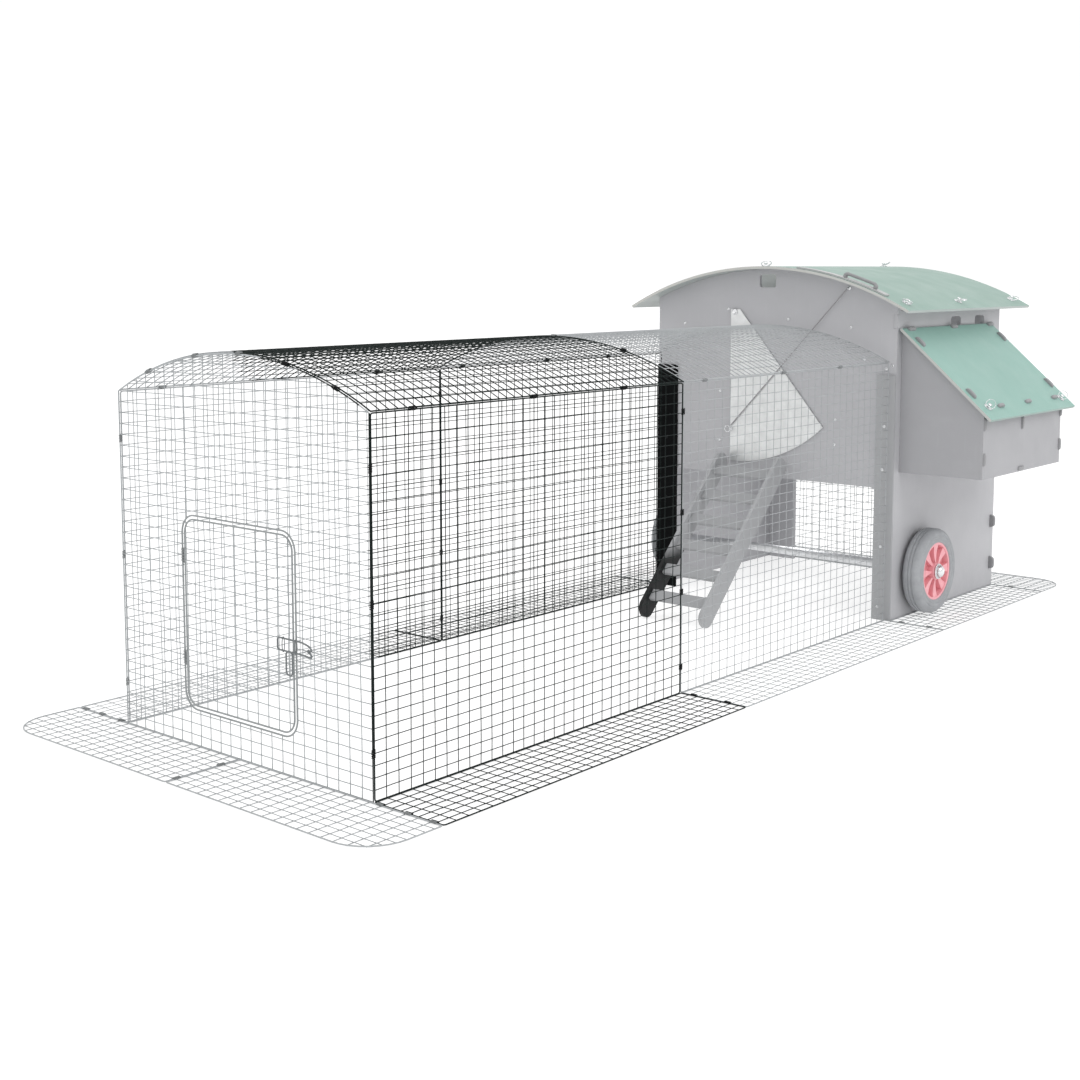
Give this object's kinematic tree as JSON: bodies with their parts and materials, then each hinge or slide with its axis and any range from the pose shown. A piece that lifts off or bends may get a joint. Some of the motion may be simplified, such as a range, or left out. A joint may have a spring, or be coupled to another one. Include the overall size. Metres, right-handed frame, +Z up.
{
  "type": "wheeled animal hutch with mesh run",
  "caption": "Raised flat-panel animal house on wheels with an arched roof, an outboard nest box and a ramp, joined to an arched welded-mesh run with ground skirts.",
  "frame": {"origin": "centre of the footprint on the ground", "axes": "+Z up, +Y from the run's door towards the back of the house, +X towards the nest box"},
  "size_m": [1.3444, 3.2094, 1.0862],
  "materials": {
    "dark_mesh": "satin",
    "pale_mesh": "satin",
    "pale_frame": "satin",
    "clip_black": "satin",
    "roof_green": "satin",
    "lid_green": "satin",
    "bright_steel": "polished",
    "galvanised": "satin",
    "shutter_sheet": "satin",
    "tyre_grey": "matte",
    "hub_red": "satin",
    "black_plastic": "satin",
    "dark_grey_plastic": "satin",
    "cord": "matte",
    "perch_wood": "matte",
    "grey_plastic": "satin"
  },
  "bodies": {
    "house_and_run": {"doorway_frame": "pale_frame", "floor_bearers": "grey_plastic", "house_back_panel": "grey_plastic", "house_floor": "grey_plastic", "house_front_panel": "grey_plastic", "house_left_panel": "grey_plastic", "house_right_panel": "grey_plastic", "left_corner_post": "black_plastic", "mesh_clips": "clip_black", "nest_box_far_side": "grey_plastic", "nest_box_floor": "grey_plastic", "nest_box_front_panel": "grey_plastic", "nest_box_near_side": "grey_plastic", "panel_pegs": "dark_grey_plastic", "panel_screws": "bright_steel", "perch_bars": "perch_wood", "pop_door_pivot_bolt": "bright_steel", "pop_door_pull_cord": "cord", "pull_cord_eyelet": "bright_steel", "right_corner_post": "dark_grey_plastic", "run_front_panel": "pale_mesh", "run_left_mesh_1": "dark_mesh", "run_left_mesh_2": "pale_mesh", "run_right_mesh_1": "dark_mesh", "run_right_mesh_2": "pale_mesh", "run_roof_mesh_1": "dark_mesh", "run_roof_mesh_2": "pale_mesh", "skirt_front_left": "pale_mesh", "skirt_front_right": "pale_mesh", "skirt_house_back": "pale_mesh", "skirt_house_left": "pale_mesh", "skirt_house_right": "pale_mesh", "skirt_left_1": "dark_mesh", "skirt_left_2": "pale_mesh", "skirt_right_1": "dark_mesh", "skirt_right_2": "pale_mesh", "underpass_back_mesh": "pale_mesh", "wheel_axle": "galvanised", "wheel_nuts": "bright_steel"},
    "run_door": {"run_door_frame": "pale_frame", "run_door_mesh": "pale_mesh", "run_door_hinge_sleeves": "pale_frame"},
    "run_door_latch": {"run_door_latch": "pale_frame"},
    "roof": {"house_roof": "roof_green", "roof_turn_knobs": "bright_steel", "roof_edge_strip": "dark_grey_plastic", "roof_lift_handle": "dark_grey_plastic"},
    "nest_lid": {"nest_lid": "lid_green", "nest_lid_tabs": "dark_grey_plastic"},
    "nest_lid_near_knob": {"nest_lid_near_knob": "bright_steel"},
    "nest_lid_far_knob": {"nest_lid_far_knob": "bright_steel"},
    "left_wheel": {"left_tyre": "tyre_grey", "left_wheel_hub": "hub_red"},
    "right_wheel": {"right_tyre": "tyre_grey", "right_wheel_hub": "hub_red"},
    "pop_door": {"pop_door": "shutter_sheet", "pop_door_cord_ring": "bright_steel"},
    "ramp": {"ramp_left_board": "black_plastic", "ramp_right_board": "grey_plastic", "ramp_rungs": "grey_plastic"}
  },
  "joints": [
    {"name": "run_door_hinge", "type": "hinge", "parent": "house_and_run", "child": "run_door", "pos_m": [-0.2491, -1.407, 0.3], "axis": [0, 0, -1], "range_deg": [0, 110]},
    {"name": "run_door_latch_slide", "type": "slide", "parent": "run_door", "child": "run_door_latch", "axis": [-1, 0, 0], "range_m": [0, 0.03]},
    {"name": "roof_lift", "type": "slide", "parent": "house_and_run", "child": "roof", "axis": [0, 0, 1], "range_m": [0, 0.3]},
    {"name": "nest_lid_hinge", "type": "hinge", "parent": "house_and_run", "child": "nest_lid", "pos_m": [0.38305, 1.0169, 0.87635], "axis": [0, -1, 0], "range_deg": [0, 70]},
    {"name": "nest_lid_near_knob_turn", "type": "hinge", "parent": "nest_lid", "child": "nest_lid_near_knob", "pos_m": [0.63649, 0.7629, 0.65878], "axis": [0.6613, 0, 0.7501], "range_deg": [0, 90]},
    {"name": "nest_lid_far_knob_turn", "type": "hinge", "parent": "nest_lid", "child": "nest_lid_far_knob", "pos_m": [0.64249, 1.2769, 0.65349], "axis": [0.6613, 0, 0.7501], "range_deg": [0, 90]},
    {"name": "left_wheel_spin", "type": "hinge", "parent": "house_and_run", "child": "left_wheel", "pos_m": [-0.5306, 0.8739, 0.1355], "axis": [1, 0, 0], "continuous": true},
    {"name": "right_wheel_spin", "type": "hinge", "parent": "house_and_run", "child": "right_wheel", "pos_m": [0.4114, 0.8739, 0.1355], "axis": [1, 0, 0], "continuous": true},
    {"name": "pop_door_swing", "type": "hinge", "parent": "house_and_run", "child": "pop_door", "pos_m": [-0.1941, 0.6989, 0.92], "axis": [0, -1, 0], "range_deg": [0, 40]},
    {"name": "ramp_lift", "type": "hinge", "parent": "house_and_run", "child": "ramp", "pos_m": [-0.1056, 0.65908, 0.43819], "axis": [-1, 0, 0], "range_deg": [0, 45]}
  ]
}
